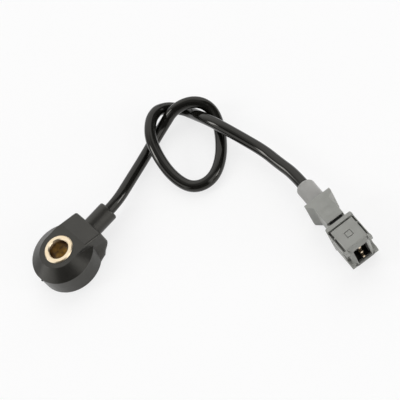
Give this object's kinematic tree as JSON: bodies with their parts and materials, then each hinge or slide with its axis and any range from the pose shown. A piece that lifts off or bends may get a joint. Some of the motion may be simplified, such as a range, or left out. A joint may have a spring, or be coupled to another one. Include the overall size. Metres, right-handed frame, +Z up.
{
  "type": "engine knock sensor",
  "caption": "Round bolt-through engine knock sensor with a knotted pigtail cord that ends in a grey rectangular plug.",
  "frame": {"origin": "centre of the bolt bore on the sleeve's contact face, which is the floor plane", "axes": "+Z up the bolt bore, +X from the bore towards the cable spout"},
  "size_m": [0.1039, 0.1228, 0.0154],
  "materials": {
    "brass": "turned",
    "insulator": "plain",
    "contact_brass": "stamped",
    "piezo_ceramic": "fired",
    "steel": "machined",
    "black_moulding": "moulded",
    "copper_core": "drawn",
    "cable_jacket": "smooth",
    "grey_boot": "moulded",
    "grey_moulding": "moulded",
    "seal_rubber": "plain",
    "terminal_brass": "stamped"
  },
  "bodies": {
    "root": {"sleeve": "brass", "insulating_bush": "insulator", "lower_insulator": "insulator", "lower_contact": "contact_brass", "piezo_ring": "piezo_ceramic", "upper_contact": "contact_brass", "upper_insulator": "insulator", "seismic_mass": "steel", "disc_spring": "steel", "clamp_nut": "steel", "housing": "black_moulding", "signal_crimp_1": "contact_brass", "signal_crimp_2": "contact_brass", "head_core_1": "copper_core", "head_core_2": "copper_core", "cable_head_end": "cable_jacket", "cord": "cable_jacket", "cable_plug_end": "cable_jacket", "connector_boot": "grey_boot", "rear_seal": "seal_rubber", "terminal_carrier": "black_moulding", "connector_shell": "grey_moulding", "lock_plate": "grey_moulding", "terminal_1": "terminal_brass", "terminal_2": "terminal_brass", "terminal_3": "terminal_brass", "plug_core_1": "copper_core", "plug_core_2": "copper_core", "plug_core_3": "copper_core"}
  },
  "joints": []
}
